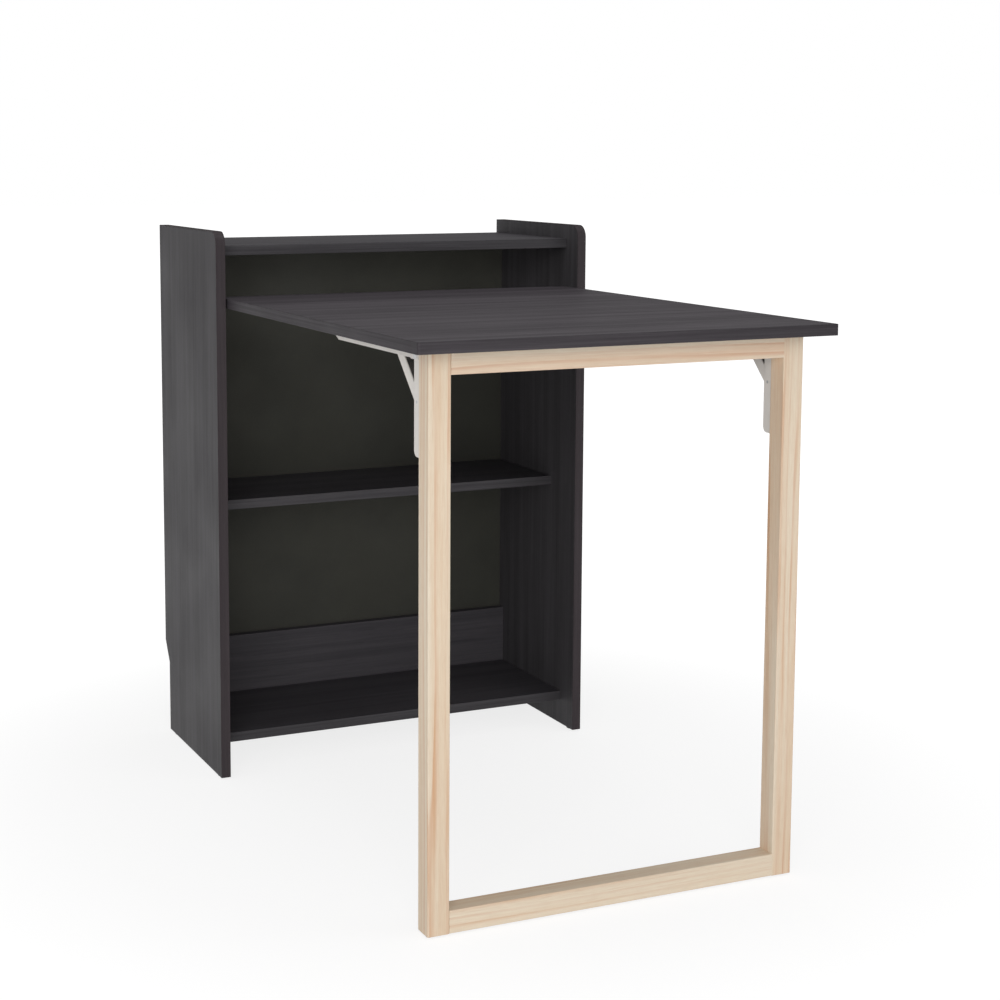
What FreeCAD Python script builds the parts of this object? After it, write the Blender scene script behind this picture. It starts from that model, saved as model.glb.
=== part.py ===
"""Retractable desk: a shallow bookcase whose desktop turns on two pins between the side panels.

The front of the desktop stands on a pine leg frame, which folds up under it on two strutted
brackets. X runs across, the desktop reaches towards -Y, and the floor is at Z = 0. The origin lies
on the floor, under the middle of the whole piece.
"""
import FreeCAD, Part
import math
import os
import re
import Sketcher

SIZES = {
    # Cabinet boards
    "cabinet_width": 636,
    "cabinet_depth": 300,
    "board": 15,
    "edging": 1,
    "panel_corner": 20,
    "skirting_depth": 22,
    "skirting_height": 116,
    "skirting_slant": 34,
    # Shelves: the gallery shelf stands over the desktop, the others over the floor, and each
    # front lies behind the front edges of the side panels
    "gallery_opening": 64,
    "gallery_lip": 23,
    "gallery_recess": 38,
    "gallery_rear_gap": 2,
    "middle_top": 425,
    "middle_recess": 85,
    "bottom_top": 59,
    "bottom_recess": 44,
    "rail_height": 112,
    # Back panel, held in grooves of the side panels
    "back_thickness": 3,
    "back_overlap": 28,
    "groove_depth": 6,
    "back_fit": 0.2,
    # Dowels and cam fittings of the cabinet
    "fitting_inset": 37,
    "rail_dowel_spacing": 64,
    "dowel_radius": 4,
    "dowel_in_panel": 10,
    "dowel_in_shelf": 20,
    "wood_fit": 0.05,
    "cam_radius": 7.5,
    "cam_depth": 12.5,
    "cam_setback": 24,
    "cam_mouth": 7.6,
    "bolt_radius": 2.5,
    "bolt_in_panel": 11,
    "bolt_bore_radius": 4,
    "bolt_head_radius": 3.4,
    "bolt_head": 2.5,
    # Glides under the side panels and the legs
    "glide_thickness": 2.5,
    "panel_glide_radius": 7,
    "leg_glide_radius": 11,
    "glide_front_inset": 20,
    "glide_rear_inset": 28,
    # Desktop and its pivot
    "desk_height": 752,
    "desk_reach": 710,
    "desktop_tail": 42,
    "desktop_thickness": 15,
    "desktop_side_gap": 3,
    "desktop_corner": 3,
    "pivot_setback": 25,
    "pivot_radius": 4,
    "pivot_fit": 0.06,
    "pivot_in_desktop": 35,
    "pivot_in_bush": 9,
    "bush_radius": 6,
    "bush_length": 11,
    "bush_flange_radius": 9,
    "bush_flange": 1.2,
    # Leg frame
    "leg_inset": 30,
    "leg_section": 30,
    "leg_setback": 35,
    "leg_top_gap": 0.2,
    "leg_rounding": 1.5,
    "frame_dowel_length": 40,
    "frame_dowel_spacing": 14,
    # Folding brackets of pressed steel
    "hinge_offset": 9.4,
    "steel": 1.5,
    "bracket_width": 30,
    "side_play": 0.3,
    "end_play": 0.4,
    "top_arm_depth": 14,
    "top_arm_reach": 271,
    "top_arm_tip": 4.5,
    "top_arm_taper": 17,
    "top_arm_nose": 14,
    "top_arm_nose_radius": 4,
    "top_arm_step": 1.2,
    "leg_arm_depth": 17,
    "leg_arm_reach": 125,
    "leg_arm_head": 6,
    "leg_arm_foot_radius": 8,
    "corner_pin_radius": 2.5,
    "corner_pin_head": 1.2,
    "corner_pin_head_radius": 4.5,
    "strut_reach": 57,
    "strut_radius": 7.5,
    "strut_pin_radius": 2,
    "pin_fit": 0.06,
    "slot_play": 0.2,
    # Countersunk screws of the brackets
    "screw_radius": 1.75,
    "screw_sink": 1.2,
    "top_screw_length": 12,
    "leg_screw_length": 20,
    # Overrun of every cut past the face that it starts from
    "overrun": 1,
}

TOP_SCREW_SHARES = (0.12, 0.62, 0.9)
LEG_SCREW_SHARES = (0.26, 0.86)
SIDES = (("left", -1), ("right", 1))

# Sizes that follow from the driving ones
RULES = {
    "inner_width": "cabinet_width - 2 * board",
    "front_plane": "(desk_reach - cabinet_depth) / 2",
    "shelf_line": "cabinet_depth - skirting_depth",
    "dowel_length": "dowel_in_panel + dowel_in_shelf",
    "gallery_top": "desk_height + gallery_opening + board",
    "cabinet_height": "gallery_top + gallery_lip - glide_thickness",
    "rail_bottom": "bottom_top - board",
    "back_bottom": "rail_bottom + rail_height - back_overlap",
    "back_ceiling": "gallery_top - board - back_fit",
    "desktop_width": "inner_width - 2 * desktop_side_gap",
    "desk_underside": "desk_height - desktop_thickness",
    "pivot_y": "front_plane + pivot_setback",
    "pivot_z": "desk_height - desktop_thickness / 2",
    "leg_back": "front_plane - desk_reach + leg_setback + leg_section",
    "leg_length": "desk_underside - leg_top_gap - glide_thickness",
    "leg_frame_width": "desktop_width - 2 * leg_inset",
    "leg_rail_length": "leg_frame_width - 2 * leg_section",
    "bracket_x": "(leg_frame_width - leg_section) / 2",
    "hinge_y": "leg_back + hinge_offset",
    "hinge_z": "desk_underside - hinge_offset",
    "leg_arm_width": "bracket_width - 2 * steel - 2 * side_play",
    "strut_width": "leg_arm_width - 2 * steel - 2 * side_play",
    "strut_length": "strut_reach * sqrt(2)",
    "screw_head_radius": "screw_radius + screw_sink",
}

# Shelves: recess of the front, line of the rear and height of the top
SHELVES = {
    "gallery_shelf": ("gallery_recess", "cabinet_depth - gallery_rear_gap", "gallery_top"),
    "middle_shelf": ("middle_recess", "shelf_line", "middle_top"),
    "bottom_shelf": ("bottom_recess", "shelf_line - board", "bottom_top"),
}

doc = FreeCAD.newDocument("RetractableDesk")
sheet = doc.addObject("Spreadsheet::Sheet", "Sizes")
for row, (alias, value) in enumerate(SIZES.items(), start=1):
    sheet.set(f"A{row}", alias)
    sheet.set(f"B{row}", str(value))
    sheet.setAlias(f"B{row}", alias)
doc.recompute()

nodes = []
vector = FreeCAD.Vector


def expression(rule):
    """Spells a rule of plain size names as an expression on the sheet."""
    def spell(match):
        word = match.group()
        if word in RULES:
            return f"({expression(RULES[word])})"
        return f"Sizes.{word}" if word in SIZES else word
    return re.sub(r"[a-z_]+", spell, rule)


def number(rule):
    """Works a rule out as a plain number."""
    return float(sheet.evalExpression(expression(rule)))


def place(piece, x="0", y="0", z="0"):
    """Binds the place of a piece to the sheet."""
    for axis, rule in zip("xyz", (x, y, z)):
        piece.setExpression(f"Placement.Base.{axis}", expression(rule))


def new_body(label, x="0", y="0", z="0", is_node=True):
    """Starts a body of its own at a bound place."""
    body = doc.addObject("PartDesign::Body", label)
    body.Label = label
    place(body, x, y, z)
    if is_node:
        nodes.append(body)
    return body


def origin_part(body, role):
    """Finds an axis or plane of the body's own origin."""
    return next(part for part in body.Origin.OriginFeatures if part.Role == role)


def new_sketch(body, role, offset="0"):
    """Lays a sketch on an origin plane, moved along the plane's normal."""
    sketch = body.newObject("Sketcher::SketchObject", "Sketch")
    sketch.AttachmentSupport = [(origin_part(body, role), "")]
    sketch.MapMode = "FlatFace"
    sketch.setExpression("AttachmentOffset.Base.z", expression(offset))
    return sketch


def fix_point(sketch, edge, end, point):
    """Ties one point of a sketch to the origin by two bound distances."""
    for kind, rule in zip(("DistanceX", "DistanceY"), point):
        index = sketch.addConstraint(Sketcher.Constraint(kind, -1, 1, edge, end, number(rule)))
        sketch.setExpression(f"Constraints[{index}]", expression(rule))


def draw_outline(sketch, points):
    """Draws a closed outline through points given as pairs of rules."""
    corners = [vector(number(across), number(up)) for across, up in points]
    edges = [
        sketch.addGeometry(Part.LineSegment(start, end))
        for start, end in zip(corners, corners[1:] + corners[:1])
    ]
    for edge, following in zip(edges, edges[1:] + edges[:1]):
        sketch.addConstraint(Sketcher.Constraint("Coincident", edge, 2, following, 1))
    for edge, point in zip(edges, points):
        fix_point(sketch, edge, 1, point)


def draw_rectangle(sketch, left, right, low, high):
    """Draws a rectangle between four rules."""
    draw_outline(sketch, ((left, low), (right, low), (right, high), (left, high)))


def draw_circles(sketch, radius, centres):
    """Draws circles of one bound radius round centres given as pairs of rules."""
    for centre in centres:
        middle = vector(number(centre[0]), number(centre[1]))
        edge = sketch.addGeometry(Part.Circle(middle, vector(0, 0, 1), number(radius)))
        fix_point(sketch, edge, 3, centre)
        index = sketch.addConstraint(Sketcher.Constraint("Radius", edge, number(radius)))
        sketch.setExpression(f"Constraints[{index}]", expression(radius))


def draw_slot(sketch, start, end, radius):
    """Draws a slot along the sketch's first axis, between two centre points on it."""
    left, right, reach = number(start), number(end), number(radius)
    normal = vector(0, 0, 1)
    quarter = math.pi / 2
    near = Part.Circle(vector(left, 0), normal, reach)
    far = Part.Circle(vector(right, 0), normal, reach)
    near_arc = sketch.addGeometry(Part.ArcOfCircle(near, quarter, 3 * quarter))
    low_line = sketch.addGeometry(Part.LineSegment(vector(left, -reach), vector(right, -reach)))
    far_arc = sketch.addGeometry(Part.ArcOfCircle(far, -quarter, quarter))
    high_line = sketch.addGeometry(Part.LineSegment(vector(right, reach), vector(left, reach)))
    loop = (near_arc, low_line, far_arc, high_line)
    for edge, following in zip(loop, loop[1:] + loop[:1]):
        sketch.addConstraint(Sketcher.Constraint("Tangent", edge, 2, following, 1))
    fix_point(sketch, near_arc, 3, (start, "0"))
    fix_point(sketch, far_arc, 3, (end, "0"))
    index = sketch.addConstraint(Sketcher.Constraint("Radius", near_arc, reach))
    sketch.setExpression(f"Constraints[{index}]", expression(radius))


def pad(body, sketch, length, backwards=False, symmetric=False):
    """Pads a sketch by a bound length."""
    feature = body.newObject("PartDesign::Pad", "Pad")
    feature.Profile = sketch
    feature.setExpression("Length", expression(length))
    feature.Reversed = backwards
    feature.SideType = "Symmetric" if symmetric else "One side"
    doc.recompute()
    return feature


def pocket(body, sketch, depth=None, backwards=False):
    """Cuts a sketch to a bound depth, or right through both ways, and checks that it cut."""
    before = body.Shape.Volume
    feature = body.newObject("PartDesign::Pocket", "Pocket")
    feature.Profile = sketch
    if depth is None:
        feature.Type = "ThroughAll"
        feature.SideType = "Symmetric"
    else:
        feature.setExpression("Length", expression(depth))
        feature.Reversed = backwards
    doc.recompute()
    if not body.Shape.Volume < before:
        raise ValueError(f"a pocket of {body.Label} cuts nothing")
    return feature


def mirror(body, features, role="YZ_Plane"):
    """Repeats features on the far side of an origin plane."""
    mirrored = body.newObject("PartDesign::Mirrored", "Mirrored")
    mirrored.Originals = features
    mirrored.MirrorPlane = (origin_part(body, role), [""])
    body.Tip = mirrored
    doc.recompute()


def edges_at(body, **where):
    """Names the edges of the body's tip whose ends all lie at the given coordinates."""
    names = []
    for index, edge in enumerate(body.Tip.Shape.Edges, start=1):
        ends = [vertex.Point for vertex in edge.Vertexes]
        gaps = [abs(getattr(end, axis) - place) for end in ends for axis, place in where.items()]
        if len(ends) == 2 and max(gaps) < Part.Precision.confusion() * len(SIZES):
            names.append(f"Edge{index}")
    return names


def plan_corners(body, half, front, rear):
    """Names the upright edges of the body's tip at the four corners of its plan."""
    return [
        name for side in (-1, 1) for y in (front, rear)
        for name in edges_at(body, x=side * number(half), y=number(y))
    ]


def round_edges(body, radius, names):
    """Rounds named edges of the body's tip by a bound radius."""
    base = body.Tip
    fillet = body.newObject("PartDesign::Fillet", "Fillet")
    fillet.Base = (base, names)
    fillet.setExpression("Radius", expression(radius))
    doc.recompute()


def turned(label, profile, x="0", y="0", z="0", is_node=True):
    """Turns a profile of (along, radius) rules about the X axis."""
    body = new_body(label, x, y, z, is_node)
    sketch = new_sketch(body, "XY_Plane")
    draw_outline(sketch, profile)
    feature = body.newObject("PartDesign::Revolution", "Revolution")
    feature.Profile = sketch
    feature.ReferenceAxis = (origin_part(body, "X_Axis"), [""])
    feature.Angle = 360
    doc.recompute()
    return body


def box(label, size, x="0", y="0", z="0"):
    """Makes a plain strip or sheet with bound sides."""
    piece = doc.addObject("Part::Box", label)
    piece.Label = label
    for side, rule in zip(("Length", "Width", "Height"), size):
        piece.setExpression(side, expression(rule))
    place(piece, x, y, z)
    nodes.append(piece)
    return piece


def add_group(label, master, places):
    """Sets copies of a master piece at (x, y, z, axis, degrees) places, as one node."""
    copies = []
    for x, y, z, axis, degrees in places:
        copy = master.Shape.copy()
        copy.Placement = FreeCAD.Placement(vector(x, y, z), FreeCAD.Rotation(axis, degrees))
        copies.append(copy)
    piece = doc.addObject("Part::Feature", label)
    piece.Label = label
    piece.Shape = Part.makeCompound(copies)
    nodes.append(piece)


def shelf_fittings(recess, rear):
    """Gives the depths of a shelf's cam fittings and of the dowel between them."""
    return (f"{recess} + fitting_inset", f"{rear} - fitting_inset"), (f"({recess} + {rear}) / 2",)


def rail_dowels():
    """Gives the heights of the rear rail's dowels above its lower edge."""
    return tuple(f"(rail_height {sign} rail_dowel_spacing) / 2" for sign in "-+")


def panel_bores(kind):
    """Lists the fitting bores in a side panel as (depth, height) rules; kind 0 is cam bolts."""
    bores = []
    for recess, rear, top in SHELVES.values():
        height = f"{top} - board / 2 - glide_thickness"
        bores += [(depth, height) for depth in shelf_fittings(recess, rear)[kind]]
    if kind:
        depth = "shelf_line - board / 2"
        bores += [(depth, f"rail_bottom + {up} - glide_thickness") for up in rail_dowels()]
    return bores


def side_panel(name, side):
    """Makes a side panel from its inner face outwards, with its groove and bores."""
    body = new_body(f"{name}_side_panel", f"{side} * inner_width / 2", "front_plane", "glide_thickness")
    sketch = new_sketch(body, "YZ_Plane")
    high = "cabinet_height - edging"
    draw_outline(sketch, (
        ("edging", "0"),
        ("shelf_line", "0"),
        ("shelf_line", "skirting_height"),
        ("cabinet_depth", "skirting_height + skirting_slant"),
        ("cabinet_depth", high),
        ("edging", high),
    ))
    pad(body, sketch, "board", backwards=side < 0)
    corner = edges_at(body, y=number("edging"), z=number(high))
    round_edges(body, "panel_corner - edging", corner)
    groove = new_sketch(body, "YZ_Plane")
    draw_rectangle(
        groove,
        "shelf_line", "shelf_line + back_thickness + 2 * back_fit",
        "back_bottom - back_fit - glide_thickness", "back_ceiling + back_fit - glide_thickness",
    )
    pocket(body, groove, "groove_depth", side > 0)
    for radius, depth, kind in (
        ("bolt_radius + wood_fit", "bolt_in_panel + wood_fit", 0),
        ("dowel_radius + wood_fit", "dowel_in_panel + wood_fit", 1),
    ):
        bores = new_sketch(body, "YZ_Plane")
        draw_circles(bores, radius, panel_bores(kind))
        pocket(body, bores, depth, side > 0)
    pivot = new_sketch(body, "YZ_Plane")
    draw_circles(pivot, "bush_radius", [("pivot_setback", "pivot_z - glide_thickness")])
    pocket(body, pivot, "bush_length", side > 0)


def panel_edging(name, side):
    """Makes the band on a side panel's front and top edges, bent round the corner."""
    body = new_body(f"{name}_panel_edging", f"{side} * inner_width / 2", "front_plane", "glide_thickness")
    sketch = new_sketch(body, "YZ_Plane")
    high = "cabinet_height - edging"
    draw_outline(sketch, (
        ("0", "0"),
        ("edging", "0"),
        ("edging", high),
        ("cabinet_depth", high),
        ("cabinet_depth", "cabinet_height"),
        ("0", "cabinet_height"),
    ))
    pad(body, sketch, "board", backwards=side < 0)
    round_edges(body, "panel_corner", edges_at(body, y=0, z=number("cabinet_height")))
    inner = edges_at(body, y=number("edging"), z=number(high))
    round_edges(body, "panel_corner - edging", inner)


def dowel_bores(body, half_length, centres):
    """Bores one end of a board for its dowels."""
    pegs = new_sketch(body, "YZ_Plane", half_length)
    draw_circles(pegs, "dowel_radius + wood_fit", centres)
    return pocket(body, pegs, "dowel_in_shelf + wood_fit")


def shelf(name, recess, rear, top):
    """Makes a shelf with its end bores and cam seats underneath."""
    body = new_body(name, "0", "front_plane", f"{top} - board")
    sketch = new_sketch(body, "XY_Plane")
    draw_rectangle(sketch, "-inner_width / 2", "inner_width / 2", f"{recess} + edging", rear)
    pad(body, sketch, "board")
    cams, dowels = shelf_fittings(recess, rear)
    bolts = new_sketch(body, "YZ_Plane", "inner_width / 2")
    draw_circles(bolts, "bolt_bore_radius", [(depth, "board / 2") for depth in cams])
    seats = new_sketch(body, "XY_Plane")
    draw_circles(seats, "cam_radius + wood_fit", [("inner_width / 2 - cam_setback", depth) for depth in cams])
    mirror(body, [
        dowel_bores(body, "inner_width / 2", [(depth, "board / 2") for depth in dowels]),
        pocket(body, bolts, "cam_setback"),
        pocket(body, seats, "cam_depth", True),
    ])
    box(
        f"{name}_edging", ("inner_width", "edging", "board"),
        "-inner_width / 2", f"front_plane + {recess}", f"{top} - board",
    )


def rear_rail():
    """Makes the upright rail behind the bottom shelf, which closes the back below the hardboard."""
    body = new_body("rear_rail", "0", "front_plane + shelf_line - board", "rail_bottom")
    sketch = new_sketch(body, "XY_Plane")
    draw_rectangle(sketch, "-inner_width / 2", "inner_width / 2", "0", "board")
    pad(body, sketch, "rail_height")
    mirror(body, [dowel_bores(body, "inner_width / 2", [("board / 2", up) for up in rail_dowels()])])


def back_panel():
    """Makes the hardboard back, which slides into the grooves and overlaps the rail."""
    box(
        "back_panel",
        ("inner_width + 2 * groove_depth - 2 * back_fit", "back_thickness", "back_ceiling - back_bottom"),
        "back_fit - inner_width / 2 - groove_depth", "front_plane + shelf_line + back_fit", "back_bottom",
    )


def fitting_places(kind):
    """Lists (side, y, z) where boards meet the side panels; kind 0 is cams, 1 is dowels."""
    found = []
    for _, side in SIDES:
        for recess, rear, top in SHELVES.values():
            for depth in shelf_fittings(recess, rear)[kind]:
                found.append((side, number(f"front_plane + {depth}"), number(f"{top} - board / 2")))
        if kind:
            y = number("front_plane + shelf_line - board / 2")
            found += [(side, y, number(f"rail_bottom + {up}")) for up in rail_dowels()]
    return found


def cam_lock_master():
    """Makes one cam: a disc whose mouth takes the bolt's head, open towards +X."""
    body = new_body("cam_lock_master", is_node=False)
    disc = new_sketch(body, "XY_Plane", "-board / 2")
    draw_circles(disc, "cam_radius", [("0", "0")])
    pad(body, disc, "cam_depth - wood_fit")
    mouth = new_sketch(body, "XY_Plane")
    half = "cam_mouth / 2"
    draw_rectangle(mouth, f"-{half}", "cam_radius + overrun", f"-{half}", half)
    height = pocket(body, mouth, "cam_mouth")
    height.SideType = "Symmetric"
    doc.recompute()
    return body


def cabinet_fittings():
    """Makes the cams, their bolts and the dowels of the whole cabinet."""
    bolt = turned("cam_bolt_master", (
        ("-bolt_in_panel", "0"),
        ("-bolt_in_panel", "bolt_radius"),
        ("cam_setback - bolt_head / 2", "bolt_radius"),
        ("cam_setback - bolt_head / 2", "bolt_head_radius"),
        ("cam_setback + bolt_head / 2", "bolt_head_radius"),
        ("cam_setback + bolt_head / 2", "0"),
    ), is_node=False)
    dowel = turned("shelf_dowel_master", (
        ("-dowel_in_panel", "0"),
        ("-dowel_in_panel", "dowel_radius - wood_fit"),
        ("dowel_in_shelf", "dowel_radius - wood_fit"),
        ("dowel_in_shelf", "0"),
    ), is_node=False)
    face = number("inner_width / 2")
    lock_x = number("inner_width / 2 - cam_setback")
    up = vector(0, 0, 1)
    cams, pegs = fitting_places(0), fitting_places(1)
    add_group("cam_locks", cam_lock_master(), [
        (side * lock_x, y, z, up, 0 if side > 0 else 180) for side, y, z in cams
    ])
    for label, master, places in (("cam_bolts", bolt, cams), ("shelf_dowels", dowel, pegs)):
        add_group(label, master, [
            (side * face, y, z, up, 180 if side > 0 else 0) for side, y, z in places
        ])


def glides():
    """Makes the glides under the side panels and under the legs."""
    upright = vector(0, 1, 0)
    panel_x = number("inner_width / 2 + board / 2")
    panel_rows = ("front_plane + glide_front_inset", "front_plane + shelf_line - glide_rear_inset")
    panel_places = [
        (side * panel_x, number(row), 0, upright, -90) for _, side in SIDES for row in panel_rows
    ]
    leg_y = number("leg_back - leg_section / 2")
    leg_places = [(side * number("bracket_x"), leg_y, 0, upright, -90) for _, side in SIDES]
    for label, radius, places in (
        ("panel_glides", "panel_glide_radius", panel_places),
        ("leg_glides", "leg_glide_radius", leg_places),
    ):
        master = turned(f"{label}_master", (
            ("0", "0"),
            ("0", f"{radius} - glide_thickness / 2"),
            ("glide_thickness / 2", radius),
            ("glide_thickness", radius),
            ("glide_thickness", "0"),
        ), is_node=False)
        add_group(label, master, places)


def desktop():
    """Makes the desktop about its pivot axis, with its band, pin bores and screw bores."""
    front, rear = "-desk_reach - pivot_setback", "desktop_tail - pivot_setback"
    half, low = "desktop_width / 2", "-desktop_thickness / 2"
    board = new_body("desktop_board", "0", "pivot_y", "pivot_z")
    plate = new_sketch(board, "XY_Plane", low)
    draw_rectangle(
        plate, f"edging - {half}", f"{half} - edging", f"{front} + edging", f"{rear} - edging",
    )
    pad(board, plate, "desktop_thickness")
    inside = (f"{half} - edging", f"{front} + edging", f"{rear} - edging")
    round_edges(board, "desktop_corner - edging", plan_corners(board, *inside))
    pin_bore = new_sketch(board, "YZ_Plane", half)
    draw_circles(pin_bore, "pivot_radius + wood_fit", [("0", "0")])
    mirror(board, [pocket(board, pin_bore, "pivot_in_desktop + wood_fit")])
    pilots = new_sketch(board, "XY_Plane", low)
    draw_circles(pilots, "screw_radius + wood_fit", [
        (f"{side} * bracket_x", f"hinge_y - pivot_y + {share} * top_arm_reach")
        for _, side in SIDES for share in TOP_SCREW_SHARES
    ])
    pocket(board, pilots, "top_screw_length", True)

    band = new_body("desktop_edging", "0", "pivot_y", "pivot_z")
    ring = new_sketch(band, "XY_Plane", low)
    draw_rectangle(ring, f"-{half}", half, front, rear)
    pad(band, ring, "desktop_thickness")
    round_edges(band, "desktop_corner", plan_corners(band, half, front, rear))
    middle = new_sketch(band, "XY_Plane")
    draw_rectangle(
        middle, f"edging - {half}", f"{half} - edging", f"{front} + edging", f"{rear} - edging",
    )
    pocket(band, middle)
    round_edges(band, "desktop_corner - edging", plan_corners(band, *inside))
    hole = new_sketch(band, "YZ_Plane")
    draw_circles(hole, "pivot_radius + wood_fit", [("0", "0")])
    pocket(band, hole)


def pivots():
    """Makes the steel pins in the desktop's edges and the flanged bushes that they turn in."""
    for name, side in SIDES:
        outwards = f"{side} *"
        turned(f"{name}_pivot_pin", (
            (f"{outwards} (desktop_width / 2 - pivot_in_desktop)", "0"),
            (f"{outwards} (inner_width / 2 + pivot_in_bush)", "0"),
            (f"{outwards} (inner_width / 2 + pivot_in_bush)", "pivot_radius"),
            (f"{outwards} (desktop_width / 2 - pivot_in_desktop)", "pivot_radius"),
        ), "0", "pivot_y", "pivot_z")
        turned(f"{name}_pivot_bush", (
            (f"{outwards} (inner_width / 2 - bush_flange)", "pivot_radius + pivot_fit"),
            (f"{outwards} (inner_width / 2 + bush_length)", "pivot_radius + pivot_fit"),
            (f"{outwards} (inner_width / 2 + bush_length)", "bush_radius"),
            (f"{outwards} inner_width / 2", "bush_radius"),
            (f"{outwards} inner_width / 2", "bush_flange_radius"),
            (f"{outwards} (inner_width / 2 - bush_flange)", "bush_flange_radius"),
        ), "0", "pivot_y", "pivot_z")


def leg_rail_centres():
    """Gives the heights of the two leg rails' centre lines above the foot of the leg."""
    return "leg_section / 2", "leg_length - leg_section / 2"


def dowel_rows():
    """Gives the places of the two dowels of a leg joint, side by side behind the leg's front."""
    return tuple(f"-leg_section / 2 {sign} frame_dowel_spacing / 2" for sign in "-+")


def leg(name, side):
    """Makes a leg, with bores for the rails' dowels, the bracket's screws and the glide."""
    body = new_body(f"{name}_leg", f"{side} * bracket_x", "leg_back", "glide_thickness")
    half = "leg_section / 2"
    sketch = new_sketch(body, "XY_Plane")
    draw_rectangle(sketch, f"-{half}", half, "-leg_section", "0")
    pad(body, sketch, "leg_length")
    corners = []
    for x in (-number(half), number(half)):
        for y in (-number("leg_section"), 0):
            corners += edges_at(body, x=x, y=y)
    round_edges(body, "leg_rounding", corners)
    joints = new_sketch(body, "YZ_Plane", f"{-side} * {half}")
    draw_circles(joints, "dowel_radius + wood_fit", [
        (row, centre) for centre in leg_rail_centres() for row in dowel_rows()
    ])
    pocket(body, joints, "frame_dowel_length / 2 + wood_fit", side > 0)
    pilots = new_sketch(body, "XZ_Plane")
    draw_circles(pilots, "screw_radius + wood_fit", [
        ("0", f"hinge_z - glide_thickness - {share} * leg_arm_reach") for share in LEG_SCREW_SHARES
    ])
    pocket(body, pilots, "leg_screw_length", True)


def leg_rail(name, centre):
    """Makes a rail between the legs, doweled at both ends."""
    body = new_body(name, "0", "leg_back", f"glide_thickness + {centre} - leg_section / 2")
    half = "leg_rail_length / 2"
    sketch = new_sketch(body, "XY_Plane")
    draw_rectangle(sketch, f"-{half}", half, "-leg_section", "0")
    pad(body, sketch, "leg_section")
    corners = []
    for y in (-number("leg_section"), 0):
        for z in (0, number("leg_section")):
            corners += edges_at(body, y=y, z=z)
    round_edges(body, "leg_rounding", corners)
    ends = new_sketch(body, "YZ_Plane", half)
    draw_circles(ends, "dowel_radius + wood_fit", [(row, "leg_section / 2") for row in dowel_rows()])
    mirror(body, [pocket(body, ends, "frame_dowel_length / 2 + wood_fit")])


def frame_dowels():
    """Makes the eight dowels of the leg frame."""
    dowel = turned("frame_dowel_master", (
        ("-frame_dowel_length / 2", "0"),
        ("-frame_dowel_length / 2", "dowel_radius - wood_fit"),
        ("frame_dowel_length / 2", "dowel_radius - wood_fit"),
        ("frame_dowel_length / 2", "0"),
    ), is_node=False)
    places = [
        (
            side * number("leg_rail_length / 2"), number(f"leg_back + {row}"),
            number(f"glide_thickness + {centre}"), vector(0, 0, 1), 0,
        )
        for _, side in SIDES for centre in leg_rail_centres() for row in dowel_rows()
    ]
    add_group("frame_dowels", dowel, places)


def countersink(body, names):
    """Sinks the inner rims of screw holes for flush heads."""
    base = body.Tip
    chamfer = body.newObject("PartDesign::Chamfer", "Chamfer")
    chamfer.Base = (base, names)
    chamfer.setExpression("Size", expression("screw_sink"))
    doc.recompute()


def hole_rims(body, axis, place):
    """Names the screw-hole rims of the body's tip that lie in the plane at a place along an axis."""
    names = []
    for index, edge in enumerate(body.Tip.Shape.Edges, start=1):
        is_rim = isinstance(edge.Curve, Part.Circle) and len(edge.Vertexes) == 1
        if is_rim and abs(getattr(edge.Curve.Center, axis) - place) < Part.Precision.confusion() * len(SIZES):
            names.append(f"Edge{index}")
    return names


def top_arm(name, side):
    """Makes the long channel under the desktop. Its inner flange has the slot of the strut's pin."""
    body = new_body(f"{name}_top_arm", f"{side} * bracket_x", "hinge_y", "hinge_z")
    nose = "end_play - hinge_offset"
    low = "hinge_offset - top_arm_depth"
    outline = new_sketch(body, "YZ_Plane")
    draw_outline(outline, (
        (nose, "hinge_offset"),
        ("top_arm_reach", "hinge_offset"),
        ("top_arm_reach", "hinge_offset - top_arm_tip"),
        ("top_arm_reach - top_arm_taper", f"{low} + top_arm_step"),
        ("top_arm_nose + top_arm_step", f"{low} + top_arm_step"),
        ("top_arm_nose", low),
        (nose, low),
    ))
    pad(body, outline, "bracket_width", symmetric=True)
    round_edges(body, "top_arm_nose_radius", edges_at(body, y=number(nose), z=number(low)))
    channel = new_sketch(body, "XZ_Plane")
    half = "(bracket_width / 2 - steel)"
    draw_rectangle(channel, f"-{half}", half, f"{low} - overrun", "hinge_offset - steel")
    pocket(body, channel)
    pin = new_sketch(body, "YZ_Plane")
    draw_circles(pin, "corner_pin_radius", [("0", "0")])
    pocket(body, pin)
    slot = new_sketch(body, "YZ_Plane")
    draw_slot(slot, "strut_reach", "strut_reach + strut_length", "strut_pin_radius + slot_play")
    pocket(body, slot, "bracket_width / 2 + overrun", side < 0)
    screws = new_sketch(body, "XY_Plane")
    draw_circles(screws, "screw_radius", [("0", f"{share} * top_arm_reach") for share in TOP_SCREW_SHARES])
    pocket(body, screws)
    countersink(body, hole_rims(body, "z", number("hinge_offset - steel")))


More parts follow.
